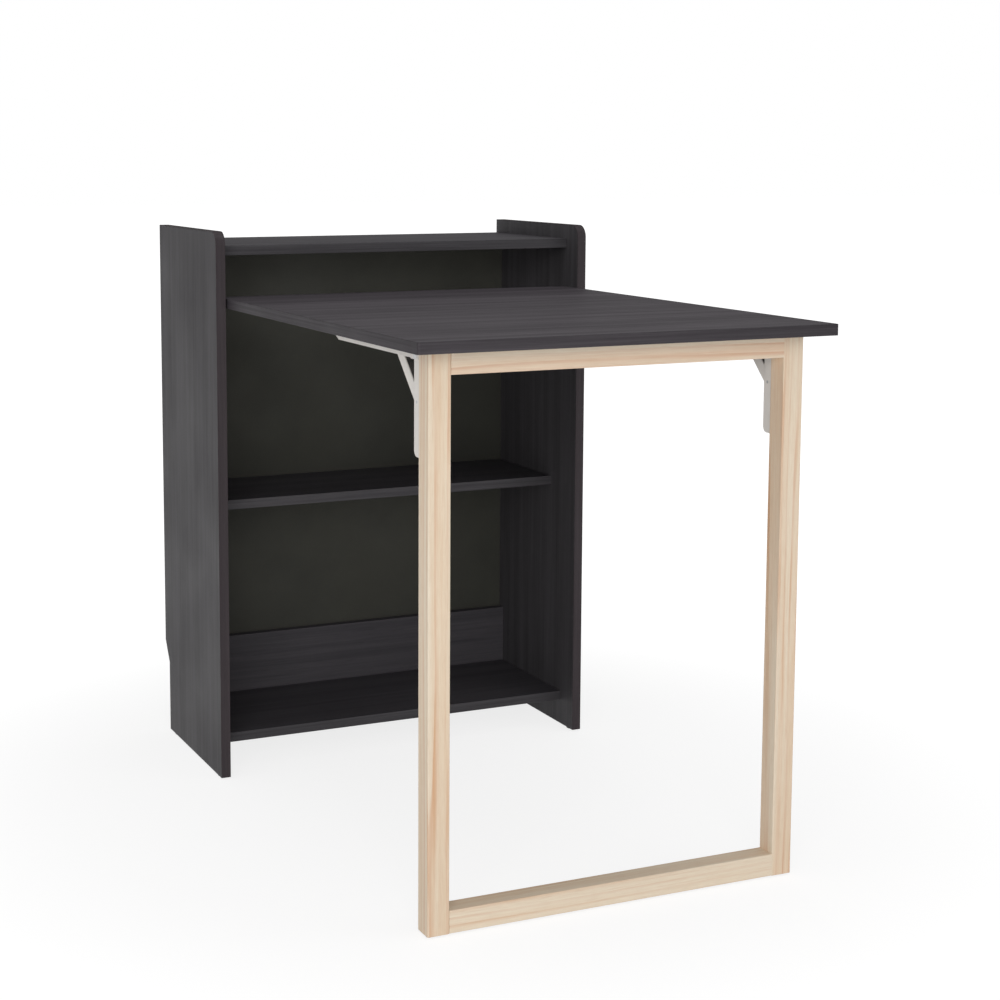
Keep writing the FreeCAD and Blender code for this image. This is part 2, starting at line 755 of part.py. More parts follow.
def leg_arm(name, side):
    """Makes the short channel on the back of the leg, nested in the top arm."""
    body = new_body(f"{name}_leg_arm", f"{side} * bracket_x", "hinge_y", "hinge_z")
    rear = "leg_arm_depth - hinge_offset"
    outline = new_sketch(body, "YZ_Plane")
    draw_rectangle(outline, "-hinge_offset", rear, "-leg_arm_reach", "leg_arm_head")
    pad(body, outline, "leg_arm_width", symmetric=True)
    head = edges_at(body, y=number(rear), z=number("leg_arm_head"))
    round_edges(body, "leg_arm_head", head)
    foot = edges_at(body, y=number(rear), z=-number("leg_arm_reach"))
    round_edges(body, "leg_arm_foot_radius", foot)
    channel = new_sketch(body, "XY_Plane")
    half = "(leg_arm_width / 2 - steel)"
    draw_rectangle(channel, f"-{half}", half, "steel - hinge_offset", f"{rear} + overrun")
    pocket(body, channel)
    for radius, centre in (
        ("corner_pin_radius + pin_fit", ("0", "0")),
        ("strut_pin_radius", ("0", "-strut_reach")),
    ):
        hole = new_sketch(body, "YZ_Plane")
        draw_circles(hole, radius, [centre])
        pocket(body, hole)
    screws = new_sketch(body, "XZ_Plane")
    draw_circles(screws, "screw_radius", [("0", f"-{share} * leg_arm_reach") for share in LEG_SCREW_SHARES])
    pocket(body, screws)
    countersink(body, hole_rims(body, "y", number("steel - hinge_offset")))


def strut(name, side):
    """Makes the strut, a channel that rises at 45 degrees from the leg arm to the top arm."""
    body = new_body(f"{name}_strut", f"{side} * bracket_x", "hinge_y", "hinge_z - strut_reach")
    body.Placement = FreeCAD.Placement(vector(), FreeCAD.Rotation(vector(1, 0, 0), 45))
    place(body, f"{side} * bracket_x", "hinge_y", "hinge_z - strut_reach")
    outline = new_sketch(body, "YZ_Plane")
    draw_slot(outline, "0", "strut_length", "strut_radius")
    pad(body, outline, "strut_width", symmetric=True)
    channel = new_sketch(body, "XZ_Plane")
    half = "(strut_width / 2 - steel)"
    draw_rectangle(channel, f"-{half}", half, "steel - strut_radius", "strut_radius + overrun")
    pocket(body, channel)
    for radius, along in (("strut_pin_radius + pin_fit", "0"), ("strut_pin_radius", "strut_length")):
        hole = new_sketch(body, "YZ_Plane")
        draw_circles(hole, radius, [(along, "0")])
        pocket(body, hole)


def bracket_pins(name, side):
    """Makes the riveted corner pin, the strut's pivot pin and the strut's slide pin."""
    half = "bracket_width / 2"
    turned(f"{name}_corner_pin", (
        (f"-{half} - corner_pin_head", "0"),
        (f"-{half} - corner_pin_head", "corner_pin_head_radius - corner_pin_head / 2"),
        (f"-{half} - corner_pin_head / 2", "corner_pin_head_radius"),
        (f"-{half}", "corner_pin_head_radius"),
        (f"-{half}", "corner_pin_radius"),
        (half, "corner_pin_radius"),
        (half, "corner_pin_head_radius"),
        (f"{half} + corner_pin_head / 2", "corner_pin_head_radius"),
        (f"{half} + corner_pin_head", "corner_pin_head_radius - corner_pin_head / 2"),
        (f"{half} + corner_pin_head", "0"),
    ), f"{side} * bracket_x", "hinge_y", "hinge_z")
    for label, y, z in (
        ("strut_pivot_pin", "hinge_y", "hinge_z - strut_reach"),
        ("slide_pin", "hinge_y + strut_reach", "hinge_z"),
    ):
        turned(f"{name}_{label}", (
            ("-leg_arm_width / 2", "0"),
            ("leg_arm_width / 2", "0"),
            ("leg_arm_width / 2", "strut_pin_radius"),
            ("-leg_arm_width / 2", "strut_pin_radius"),
        ), f"{side} * bracket_x", y, z)


def bracket_screws():
    """Makes the countersunk screws of the top arms and of the leg arms."""
    places = {
        "top_arm_screws": [
            (
                side * number("bracket_x"), number(f"hinge_y + {share} * top_arm_reach"),
                number("desk_underside - steel"), vector(0, 1, 0), -90,
            )
            for _, side in SIDES for share in TOP_SCREW_SHARES
        ],
        "leg_arm_screws": [
            (
                side * number("bracket_x"), number("leg_back + steel"),
                number(f"hinge_z - {share} * leg_arm_reach"), vector(0, 0, 1), -90,
            )
            for _, side in SIDES for share in LEG_SCREW_SHARES
        ],
    }
    for label, length in (("top_arm_screws", "top_screw_length"), ("leg_arm_screws", "leg_screw_length")):
        screw = turned(f"{label}_master", (
            ("0", "0"),
            ("0", "screw_head_radius"),
            ("screw_sink", "screw_radius"),
            (length, "screw_radius"),
            (length, "0"),
        ), is_node=False)
        add_group(label, screw, places[label])


def check():
    """Stops the build if any object failed, or if a node has no valid solid."""
    doc.recompute()
    for piece in doc.Objects:
        if "Invalid" in piece.State or "Error" in piece.State:
            raise ValueError(f"{piece.Label} failed: {piece.State}")
    for piece in nodes:
        if piece.Shape.isNull() or not piece.Shape.isValid() or not piece.Shape.Solids:
            raise ValueError(f"{piece.Label} has no valid solid")


for panel_name, panel_side in SIDES:
    side_panel(panel_name, panel_side)
    panel_edging(panel_name, panel_side)
for shelf_name, rules in SHELVES.items():
    shelf(shelf_name, *rules)
rear_rail()
back_panel()
cabinet_fittings()
glides()
desktop()
pivots()
for rail_name, rail_centre in zip(("bottom_leg_rail", "top_leg_rail"), leg_rail_centres()):
    leg_rail(rail_name, rail_centre)
frame_dowels()
for bracket_name, bracket_side in SIDES:
    leg(bracket_name, bracket_side)
    top_arm(bracket_name, bracket_side)
    leg_arm(bracket_name, bracket_side)
    strut(bracket_name, bracket_side)
    bracket_pins(bracket_name, bracket_side)
bracket_screws()
check()

os.makedirs("parts", exist_ok=True)
for node in nodes:
    node.Shape.exportStep(f"parts/{node.Label}.step")
    print(f"{node.Label}: {len(node.Shape.Solids)} solids, {node.Shape.Volume:.0f} mm3")
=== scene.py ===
"""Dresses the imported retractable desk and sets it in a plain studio.

The boards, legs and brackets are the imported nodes, which get their finishes here. The small cross-slotted
fittings are grown by Geometry Nodes and stand for the plain ones. Everything is in metres.
"""
import logging
import math
from dataclasses import dataclass, field
from enum import Enum

import bpy
from mathutils import Euler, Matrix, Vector


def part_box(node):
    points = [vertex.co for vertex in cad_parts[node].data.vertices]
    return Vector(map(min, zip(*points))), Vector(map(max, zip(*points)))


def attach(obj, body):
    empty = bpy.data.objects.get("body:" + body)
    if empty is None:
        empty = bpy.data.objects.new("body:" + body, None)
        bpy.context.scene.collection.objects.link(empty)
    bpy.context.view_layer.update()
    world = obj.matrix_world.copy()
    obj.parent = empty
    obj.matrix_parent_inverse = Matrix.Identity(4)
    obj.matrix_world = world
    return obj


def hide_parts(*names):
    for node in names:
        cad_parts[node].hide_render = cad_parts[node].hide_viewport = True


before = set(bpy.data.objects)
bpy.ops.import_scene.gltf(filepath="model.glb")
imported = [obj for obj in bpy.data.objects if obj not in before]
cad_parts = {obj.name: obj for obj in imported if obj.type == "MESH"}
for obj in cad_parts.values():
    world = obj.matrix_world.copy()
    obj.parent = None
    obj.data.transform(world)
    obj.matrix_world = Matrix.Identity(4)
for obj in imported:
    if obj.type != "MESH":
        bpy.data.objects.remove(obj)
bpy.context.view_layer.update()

LOG = logging.getLogger("desk")
WHITE = (1.0, 1.0, 1.0, 1.0)
VALUE = "NodeSocketFloat"
VECTOR = "NodeSocketVector"
# Where a Mix node keeps its two inputs and its result, by what it mixes.
MIX_SOCKETS = {"RGBA": (6, 7, 2), "VECTOR": (4, 5, 1)}


def linear(code: str) -> tuple[float, float, float, float]:
    """Turns a hex colour into the linear values that the shaders take, by the sRGB curve.

    Args:
        code: six hex digits, as seen on a screen.

    Returns:
        Red, green, blue and an alpha of one.
    """
    parts = [int(code[i:i + 2], 16) / 255 for i in (0, 2, 4)]
    red, green, blue = [c / 12.92 if c <= 0.04045 else ((c + 0.055) / 1.055) ** 2.4 for c in parts]
    return red, green, blue, 1.0


class Grain(Enum):
    """The direction in which a board's grain runs."""

    ACROSS = 0
    DEEP = 1
    UP = 2

    def stretch(self, along: float, across: float) -> tuple[float, float, float]:
        """Gives the scale of a pattern that is drawn out along the grain.

        Args:
            along: repeats in a metre along the grain.
            across: repeats in a metre across it.

        Returns:
            The scale on X, Y and Z.
        """
        return tuple(along if axis == self.value else across for axis in range(3))


@dataclass(frozen=True)
class Mottle:
    """A noise pattern, and the part of it that a mask stretches to nought and one."""

    scale: float
    detail: float
    rough: float = 0.5
    low: float = 0.3
    high: float = 0.7


class Wiring:
    """Adds and joins the nodes of one tree, left to right."""

    def __init__(self, tree: bpy.types.NodeTree) -> None:
        """Starts on an empty tree.

        Args:
            tree: the node tree to fill.
        """
        self.tree = tree
        self.tree.nodes.clear()

    def add(self, kind: str, inputs: dict | None = None, **settings) -> bpy.types.Node:
        """Adds a node, and feeds its inputs with values or with other sockets.

        Args:
            kind: the node's type.
            inputs: values or sockets, by input name or index.
            settings: properties of the node itself.

        Returns:
            The new node.
        """
        node = self.tree.nodes.new(kind)
        node.location = (len(self.tree.nodes) * 180, 0)
        for name, value in settings.items():
            setattr(node, name, value)
        for name, value in (inputs or {}).items():
            self.feed(node.inputs[name], value)
        return node

    def feed(self, socket: bpy.types.NodeSocket, value: object) -> None:
        """Links a socket to the input, or sets the input's own value.

        Args:
            socket: the input.
            value: an output socket, or a plain value.
        """
        if isinstance(value, bpy.types.NodeSocket):
            self.tree.links.new(value, socket)
        else:
            socket.default_value = value

    def math(self, operation: str, *values: object) -> bpy.types.NodeSocket:
        """Adds a Math node.

        Args:
            operation: its operation.
            values: its operands.

        Returns:
            The result.
        """
        return self.add("ShaderNodeMath", dict(enumerate(values)), operation=operation).outputs[0]

    def vector(self, operation: str, *values: object) -> bpy.types.NodeSocket:
        """Adds a Vector Math node.

        Args:
            operation: its operation.
            values: its operands.

        Returns:
            The result, which is a number for a length and for a dot product.
        """
        node = self.add("ShaderNodeVectorMath", dict(enumerate(values)), operation=operation)
        return node.outputs["Value" if operation in ("LENGTH", "DOT_PRODUCT") else "Vector"]

    def stretch(self, place: object, scale: tuple[float, float, float]) -> bpy.types.NodeSocket:
        """Scales coordinates.

        Args:
            place: the coordinates.
            scale: the scale on X, Y and Z.

        Returns:
            The scaled coordinates.
        """
        return self.add("ShaderNodeMapping", {"Vector": place, "Scale": scale}).outputs[0]

    def ramp(self, value: object, low: float, high: float) -> bpy.types.NodeSocket:
        """Stretches the part of a value between two limits to nought and one.

        Args:
            value: what is read.
            low: the value that becomes nought.
            high: the value that becomes one.

        Returns:
            The stretched value, held within nought and one.
        """
        inputs = {"Value": value, "From Min": low, "From Max": high}
        return self.add("ShaderNodeMapRange", inputs, interpolation_type="SMOOTHSTEP").outputs[0]

    def blend(
        self, factor: object, first: object, second: object, kind: str = "RGBA",
    ) -> bpy.types.NodeSocket:
        """Mixes two colours or two vectors.

        Args:
            factor: the share of the second one.
            first: colour, vector or socket.
            second: colour, vector or socket.
            kind: what is mixed.

        Returns:
            The mixture.
        """
        one, two, result = MIX_SOCKETS[kind]
        inputs = {0: factor, one: first, two: second}
        return self.add("ShaderNodeMix", inputs, data_type=kind).outputs[result]

    def tint(self, colour: object, mask: object, share: float, code: str) -> bpy.types.NodeSocket:
        """Lays a second colour over a first one, as far as a mask lets it show.

        Args:
            colour: the first colour, or its socket.
            mask: where the second one shows.
            share: how much of it shows where the mask is one.
            code: the second colour's hex digits.

        Returns:
            The tinted colour.
        """
        return self.blend(self.math("MULTIPLY", mask, share), colour, linear(code))

    def noise(self, place: object, mottle: Mottle, output: str = "Fac") -> bpy.types.NodeSocket:
        """Adds a Noise texture.

        Args:
            place: the coordinates it reads.
            mottle: its pattern.
            output: the output that is used.

        Returns:
            That output.
        """
        inputs = {"Vector": place, "Scale": mottle.scale, "Detail": mottle.detail, "Roughness": mottle.rough}
        return self.add("ShaderNodeTexNoise", inputs).outputs[output]

    def mask(self, place: object, mottle: Mottle) -> bpy.types.NodeSocket:
        """Turns a noise pattern into a mask.

        Args:
            place: the coordinates it reads.
            mottle: its pattern and its limits.

        Returns:
            The mask, from nought to one.
        """
        return self.ramp(self.noise(place, mottle), mottle.low, mottle.high)

    def effect(self, tree: bpy.types.NodeTree, **inputs: object) -> object:
        """Places one of the shared effects.

        Args:
            tree: the effect's group.
            inputs: its values or sockets, by name.

        Returns:
            Its outputs, by name.
        """
        return self.add("ShaderNodeGroup", inputs, node_tree=tree).outputs


def shader_group(name: str, inputs: dict[str, str], outputs: dict[str, str]) -> tuple:
    """Starts a shader node group with named inputs and outputs.

    Args:
        name: the group's name.
        inputs: socket kind, by name.
        outputs: socket kind, by name.

    Returns:
        The group's tree, its wiring, the sockets that it starts from and those that it ends in.
    """
    tree = bpy.data.node_groups.new(name, "ShaderNodeTree")
    for direction, sockets in (("INPUT", inputs), ("OUTPUT", outputs)):
        for label, kind in sockets.items():
            tree.interface.new_socket(label, in_out=direction, socket_type=kind)
    wiring = Wiring(tree)
    return tree, wiring, wiring.add("NodeGroupInput").outputs, wiring.add("NodeGroupOutput").inputs


@dataclass
class Effects:
    """The shader groups that several finishes share, and the patterns in them."""

    streak_drift: Mottle = Mottle(0.35, 2.0)
    broad: Mottle = Mottle(0.5, 3.0)
    fine: Mottle = Mottle(2.4, 5.0, rough=0.62, high=0.72)
    pores: Mottle = Mottle(7.5, 3.0, rough=0.7, low=0.56, high=0.74)
    ring_drift: Mottle = Mottle(1.3, 2.0)
    ring_push: float = 0.012
    late_rise: tuple[float, float] = (0.5, 0.92)
    late_fall: tuple[float, float] = (1.0, 0.93)
    late_strength: Mottle = Mottle(2.2, 2.0, low=0.25, high=0.75)
    fibre: Mottle = Mottle(26.0, 4.0, rough=0.65)
    rounding: float = 0.0007
    rounding_rays: int = 4
    edge_limits: tuple[float, float] = (0.995, 0.9)
    patch_detail: float = 3.0
    patch_limits: tuple[float, float] = (0.4, 0.7)
    smudge: Mottle = Mottle(6.0, 4.0, rough=0.55)
    streaks: bpy.types.NodeTree = field(init=False)
    rings: bpy.types.NodeTree = field(init=False)
    edges: bpy.types.NodeTree = field(init=False)
    handling: bpy.types.NodeTree = field(init=False)

    def __post_init__(self) -> None:
        """Builds every group once."""
        self.streaks = self._streaks()
        self.rings = self._rings()
        self.edges = self._edges()
        self.handling = self._handling()

    def _streaks(self) -> bpy.types.NodeTree:
        """Draws long grain streaks, with fine pores in them.

        Returns:
            A group with the masks Broad, Fine and Pores.
        """
        tree, wiring, start, end = shader_group(
            "grain_streaks",
            {"Vector": VECTOR, "Waver": VALUE},
            {"Broad": VALUE, "Fine": VALUE, "Pores": VALUE},
        )
        drift = wiring.noise(start["Vector"], self.streak_drift, "Color")
        centred = wiring.vector("SUBTRACT", drift, (0.5, 0.5, 0.5))
        bent = wiring.vector("ADD", start["Vector"], wiring.vector("MULTIPLY", centred, start["Waver"]))
        for label, mottle in (("Broad", self.broad), ("Fine", self.fine), ("Pores", self.pores)):
            wiring.feed(end[label], wiring.mask(bent, mottle))
        return tree

    def _rings(self) -> bpy.types.NodeTree:
        """Draws the growth rings of sawn softwood, as a board cuts through them.

        Returns:
            A group with the mask Late for late wood and the fine pattern Fibre.
        """
        tree, wiring, start, end = shader_group(
            "growth_rings",
            {"Vector": VECTOR, "Across": VECTOR, "Pitch": VALUE},
            {"Late": VALUE, "Fibre": VALUE},
        )
        drift = wiring.noise(start["Vector"], self.ring_drift, "Color")
        push = wiring.vector("MULTIPLY", drift, (self.ring_push,) * 3)
        away = wiring.vector("LENGTH", wiring.vector("ADD", start["Across"], push))
        year = wiring.math("FRACT", wiring.math("DIVIDE", away, start["Pitch"]))
        rise, fall = (wiring.ramp(year, *limits) for limits in (self.late_rise, self.late_fall))
        strength = wiring.mask(start["Vector"], self.late_strength)
        late = wiring.math("MULTIPLY", wiring.math("MULTIPLY", rise, fall), strength)
        wiring.feed(end["Late"], late)
        wiring.feed(end["Fibre"], wiring.noise(start["Vector"], self.fibre))
        return tree

    def _edges(self) -> bpy.types.NodeTree:
        """Finds outer edges, broken up as light wear is.

        Returns:
            A group with the mask Wear and the rounded Normal.
        """
        tree, wiring, start, end = shader_group(
            "edge_wear",
            {"Vector": VECTOR, "Breakup": VALUE, "Amount": VALUE},
            {"Wear": VALUE, "Normal": VECTOR},
        )
        bevel = wiring.add("ShaderNodeBevel", {"Radius": self.rounding}, samples=self.rounding_rays)
        rounded = bevel.outputs["Normal"]
        plain = wiring.add("ShaderNodeNewGeometry").outputs["Normal"]
        edge = wiring.ramp(wiring.vector("DOT_PRODUCT", rounded, plain), *self.edge_limits)
        inputs = {"Vector": start["Vector"], "Scale": start["Breakup"], "Detail": self.patch_detail}
        patches = wiring.ramp(wiring.add("ShaderNodeTexNoise", inputs).outputs["Fac"], *self.patch_limits)
        worn = wiring.math("MULTIPLY", edge, patches)
        wiring.feed(end["Wear"], wiring.math("MULTIPLY", worn, start["Amount"]))
        wiring.feed(end["Normal"], rounded)
        return tree

    def _handling(self) -> bpy.types.NodeTree:
        """Makes the slow smudges that hands and cloths leave in a sheen.

        Returns:
            A group with the value Roughness.
        """
        tree, wiring, start, end = shader_group(
            "handling",
            {"Vector": VECTOR, "Low": VALUE, "High": VALUE},
            {"Roughness": VALUE},
        )
        spread = wiring.add("ShaderNodeMapRange", {
            "Value": wiring.noise(start["Vector"], self.smudge),
            "From Min": self.smudge.low, "From Max": self.smudge.high,
            "To Min": start["Low"], "To Max": start["High"],
        })
        wiring.feed(end["Roughness"], spread.outputs[0])
        return tree


EFFECTS = Effects()


@dataclass(frozen=True)
class Finish:
    """A finish of this desk: its material's name, its sheen, its fine relief and the wear of its edges."""

    name: str
    smooth: float = 0.45
    dull: float = 0.6
    depth: float = 0.00003
    wear: float = 0.0
    worn: str = "000000"
    breakup: float = 60.0

    def material(self) -> bpy.types.Material:
        """Builds the material, or finds it if it has been built before.

        Returns:
            The finished material.
        """
        known = bpy.data.materials.get(self.name)
        if known:
            return known
        made = bpy.data.materials.new(self.name)
        made.use_nodes = True
        wiring = Wiring(made.node_tree)
        place = wiring.add("ShaderNodeTexCoord").outputs["Object"]
        shader = wiring.add("ShaderNodeBsdfPrincipled")
        colour, height = self.paint(wiring, place, shader)
        edge = wiring.effect(EFFECTS.edges, Vector=place, Breakup=self.breakup, Amount=self.wear)
        if self.wear:
            colour = wiring.blend(edge["Wear"], colour, linear(self.worn))
        sheen = wiring.effect(EFFECTS.handling, Vector=place, Low=self.smooth, High=self.dull)
        inputs = {"Strength": 1.0, "Distance": self.depth, "Height": height, "Normal": edge["Normal"]}
        bump = wiring.add("ShaderNodeBump", inputs)
        wiring.feed(shader.inputs["Base Color"], colour)
        wiring.feed(shader.inputs["Roughness"], sheen["Roughness"])
        wiring.feed(shader.inputs["Normal"], bump.outputs["Normal"])
        wiring.add("ShaderNodeOutputMaterial", {"Surface": shader.outputs[0]})
        return made

    def paint(self, wiring: Wiring, place: bpy.types.NodeSocket, shader: bpy.types.Node) -> tuple:
        """Draws the colour and the relief. Each finish does this in its own way.

        Args:
            wiring: the material's wiring.
            place: the object's coordinates.
            shader: the Principled shader.

        Returns:
            The colour before wear, and the height of the relief.
        """
        raise NotImplementedError


@dataclass(frozen=True)
class Laminate(Finish):
    """A dark printed laminate with a faint grain and a fine emboss."""

    dark: str = "3d3b3d"
    light: str = "504e51"
    pore: str = "242224"
    worn: str = "5c595a"
    smooth: float = 0.5
    dull: float = 0.62
    depth: float = 0.00006
    wear: float = 0.35
    grain: Grain = Grain.UP
    repeat: float = 2.6
    fineness: float = 110.0
    waver: float = 1.2
    broad_share: float = 0.55
    fine_share: float = 0.45
    pore_share: float = 0.35
    specular: float = 0.2
    around: bool = False
    side_on: float = 0.7

    def lay(self, wiring: Wiring, place: bpy.types.NodeSocket) -> bpy.types.NodeSocket:
        """Draws the pattern out along the grain, and along each edge of a band that goes around a board.

        Args:
            wiring: the material's wiring.
            place: the object's coordinates.

        Returns:
            The stretched coordinates.
        """
        ahead = wiring.stretch(place, self.grain.stretch(self.repeat, self.fineness))
        if not self.around:
            return ahead
        aside = wiring.stretch(place, Grain.DEEP.stretch(self.repeat, self.fineness))
        normal = wiring.add("ShaderNodeTexCoord").outputs["Normal"]
        sideways = wiring.add("ShaderNodeSeparateXYZ", {0: normal}).outputs["X"]
        turned = wiring.math("GREATER_THAN", wiring.math("ABSOLUTE", sideways), self.side_on)
        return wiring.blend(turned, ahead, aside, kind="VECTOR")

    def paint(self, wiring: Wiring, place: bpy.types.NodeSocket, shader: bpy.types.Node) -> tuple:
        """Prints the grain and presses it in.

        Args:
            wiring: the material's wiring.
            place: the object's coordinates.
            shader: the Principled shader.

        Returns:
            The colour before wear, and the height of the relief.
        """
        streaks = wiring.effect(EFFECTS.streaks, Vector=self.lay(wiring, place), Waver=self.waver)
        broad = wiring.math("MULTIPLY", streaks["Broad"], self.broad_share)
        fine = wiring.math("MULTIPLY", streaks["Fine"], self.fine_share)
        colour = wiring.blend(wiring.math("ADD", broad, fine), linear(self.dark), linear(self.light))
        colour = wiring.tint(colour, streaks["Pores"], self.pore_share, self.pore)
        shader.inputs["Specular IOR Level"].default_value = self.specular
        return colour, wiring.math("SUBTRACT", streaks["Fine"], streaks["Pores"])


@dataclass(frozen=True)
class Hardboard(Finish):
    """A thin board with a matte printed face and a felted fibre."""

    face: str = "35352f"
    fleck: str = "45443c"
    smooth: float = 0.7
    dull: float = 0.85
    depth: float = 0.00008
    cloud: Mottle = Mottle(9.0, 5.0)
    cloud_share: float = 0.3
    felt: Mottle = Mottle(620.0, 3.0, rough=0.7, low=0.55, high=0.75)
    felt_share: float = 0.4

    def paint(self, wiring: Wiring, place: bpy.types.NodeSocket, shader: bpy.types.Node) -> tuple:
        """Mottles the face with short fibres.

        Args:
            wiring: the material's wiring.
            place: the object's coordinates.
            shader: the Principled shader.

        Returns:
            The colour before wear, and the height of the relief.
        """
        cloud = wiring.math("MULTIPLY", wiring.mask(place, self.cloud), self.cloud_share)
        fibre = wiring.noise(place, self.felt)
        flecks = wiring.math("MULTIPLY", wiring.ramp(fibre, self.felt.low, self.felt.high), self.felt_share)
        return wiring.blend(wiring.math("ADD", cloud, flecks), linear(self.face), linear(self.fleck)), fibre


@dataclass(frozen=True)
class Pine(Finish):
    """Planed softwood under a clear matt lacquer."""

    early: str = "eedec7"
    late: str = "d39c6f"
    blush: str = "e1bf9b"
    pale: str = "f7ecd9"
    resin: str = "cc8f60"
    fuzz: str = "c39a70"
    worn: str = "f7eedd"
    smooth: float = 0.5
    dull: float = 0.62
    depth: float = 0.00009
    wear: float = 0.3
    grain: Grain = Grain.UP
    pith: tuple[float, float, float] = (0.0, 0.0, 0.0)
    figure: float = 0.78
    ring_pitch: float = 0.0085
    ring_taper: tuple[float, float] = (0.03, 1.0)
    ring_drawn: tuple[float, float] = (1.6, 22.0)
    ribbon: tuple[float, float] = (2.2, 130.0)
    waver: float = 1.0
    blush_share: float = 0.54
    pale_share: float = 0.34
    resin_share: float = 0.3
    fuzz_share: float = 0.16
    fuzz_limits: tuple[float, float] = (0.35, 0.75)
    late_dip: float = 0.5
    coat: float = 0.1
    coat_dull: float = 0.35

    def paint(self, wiring: Wiring, place: bpy.types.NodeSocket, shader: bpy.types.Node) -> tuple:
        """Cuts the growth rings with the board and adds soft streaks and fibre.

        Args:
            wiring: the material's wiring.
            place: the object's coordinates.
            shader: the Principled shader.

        Returns:
            The colour before wear, and the height of the relief.
        """
        moved = wiring.add("ShaderNodeMapping", {"Vector": place, "Location": self.pith}).outputs[0]
        drawn, across, ribbon = (
            wiring.stretch(moved, self.grain.stretch(*scales))
            for scales in (self.ring_drawn, self.ring_taper, self.ribbon)
        )
        rings = wiring.effect(EFFECTS.rings, Vector=drawn, Across=across, Pitch=self.ring_pitch)
        streaks = wiring.effect(EFFECTS.streaks, Vector=ribbon, Waver=self.waver)
        colour = wiring.tint(linear(self.early), streaks["Broad"], self.blush_share, self.blush)
        late = wiring.math("MULTIPLY", rings["Late"], self.figure)
        colour = wiring.blend(late, colour, linear(self.late))
        for mask, share, code in (
            (streaks["Fine"], self.pale_share, self.pale),
            (streaks["Pores"], self.resin_share, self.resin),
            (wiring.ramp(rings["Fibre"], *self.fuzz_limits), self.fuzz_share, self.fuzz),
        ):
            colour = wiring.tint(colour, mask, share, code)
        shader.inputs["Coat Weight"].default_value = self.coat
        shader.inputs["Coat Roughness"].default_value = self.coat_dull
        dip = wiring.math("MULTIPLY", late, self.late_dip)
        return colour, wiring.math("SUBTRACT", rings["Fibre"], dip)


@dataclass(frozen=True)
class PowderCoat(Finish):
    """A white baked coat with the fine ripple of sprayed powder.

    Where a narrow channel shuts out the light, painted shade darkens the coat towards a dark grey, found by
    ambient occlusion.
    """

    colour: str = "ebe6e0"
    cloudy: str = "dcd6cf"
    # The dark grey of the painted shade in narrow hollows.
    painted_shade_colour: str = "2a2a2b"
    worn: str = "b9b6b2"
    smooth: float = 0.34
    dull: float = 0.44
    wear: float = 0.3
    breakup: float = 220.0
    ripple: Mottle = Mottle(900.0, 2.0)
    cloud: Mottle = Mottle(30.0, 3.0)
    cloud_share: float = 0.35
    # Painted shade in narrow hollows: its share, how far the occlusion looks, its rays and the occlusion
    # limits it spans.
    painted_shade_share: float = 0.0
    painted_shade_reach: float = 0.03
    painted_shade_rays: int = 8
    painted_shade_limits: tuple[float, float] = (0.9, 0.6)

    def paint(self, wiring: Wiring, place: bpy.types.NodeSocket, shader: bpy.types.Node) -> tuple:
        """Clouds and ripples the coat and, where a share is set, paints shade into narrow hollows.

        Args:
            wiring: the material's wiring.
            place: the object's coordinates.
            shader: the Principled shader.

        Returns:
            The colour before wear, and the height of the relief.
        """
        cloud = wiring.mask(place, self.cloud)
        colour = wiring.tint(linear(self.colour), cloud, self.cloud_share, self.cloudy)
        # Painted shade: ambient occlusion darkens the coat where a narrow hollow shuts out the light.
        if self.painted_shade_share:
            open_air = wiring.add(
                "ShaderNodeAmbientOcclusion", {"Distance": self.painted_shade_reach},
                only_local=True, samples=self.painted_shade_rays,
            ).outputs["AO"]
            painted_shade_mask = wiring.ramp(open_air, *self.painted_shade_limits)
            colour = wiring.tint(colour, painted_shade_mask, self.painted_shade_share, self.painted_shade_colour)
        return colour, wiring.noise(place, self.ripple)


@dataclass(frozen=True)
class Metal(Finish):
    """Bare or plated metal, brushed, turned or as cast."""

    colour: str = "c3c3c1"
    shade: str = "8f9090"
    smooth: float = 0.24
    dull: float = 0.36
    depth: float = 0.00002
    grit: Mottle = Mottle(260.0, 4.0, rough=0.6, low=0.35, high=0.75)

    def paint(self, wiring: Wiring, place: bpy.types.NodeSocket, shader: bpy.types.Node) -> tuple:
        """Clouds the metal and roughens it.

        Args:
            wiring: the material's wiring.
            place: the object's coordinates.
            shader: the Principled shader.

        Returns:
            The colour before wear, and the height of the relief.
        """
        shader.inputs["Metallic"].default_value = 1.0
        cloud = wiring.mask(place, self.grit)
        return wiring.blend(cloud, linear(self.colour), linear(self.shade)), cloud


@dataclass(frozen=True)
class Moulded(Finish):
    """A dark moulded plastic with a spark-eroded texture."""

    colour: str = "2b2b2c"
    dusty: str = "55534f"
    dust: Mottle = Mottle(40.0, 4.0, low=0.5, high=0.8)
    dust_share: float = 0.3
    spark: Mottle = Mottle(1500.0, 2.0, rough=0.7)

    def paint(self, wiring: Wiring, place: bpy.types.NodeSocket, shader: bpy.types.Node) -> tuple:
        """Textures the moulding and dusts it slightly.

        Args:
            wiring: the material's wiring.
            place: the object's coordinates.
            shader: the Principled shader.

        Returns:
            The colour before wear, and the height of the relief.
        """
        dust = wiring.mask(place, self.dust)
        colour = wiring.tint(linear(self.colour), dust, self.dust_share, self.dusty)
        return colour, wiring.noise(place, self.spark)


def dress(node: str, finish: Finish) -> None:
    """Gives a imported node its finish.

    Args:
        node: the node's name.
        finish: what it is finished in.
    """
    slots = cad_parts[node].data.materials
    slots.clear()
    slots.append(finish.material())
    LOG.info("%s: %s", node, finish.name)


class Recess(Enum):
    """What is sunk into the head of a small fitting."""

    CROSS = "cross"
    NONE = "none"


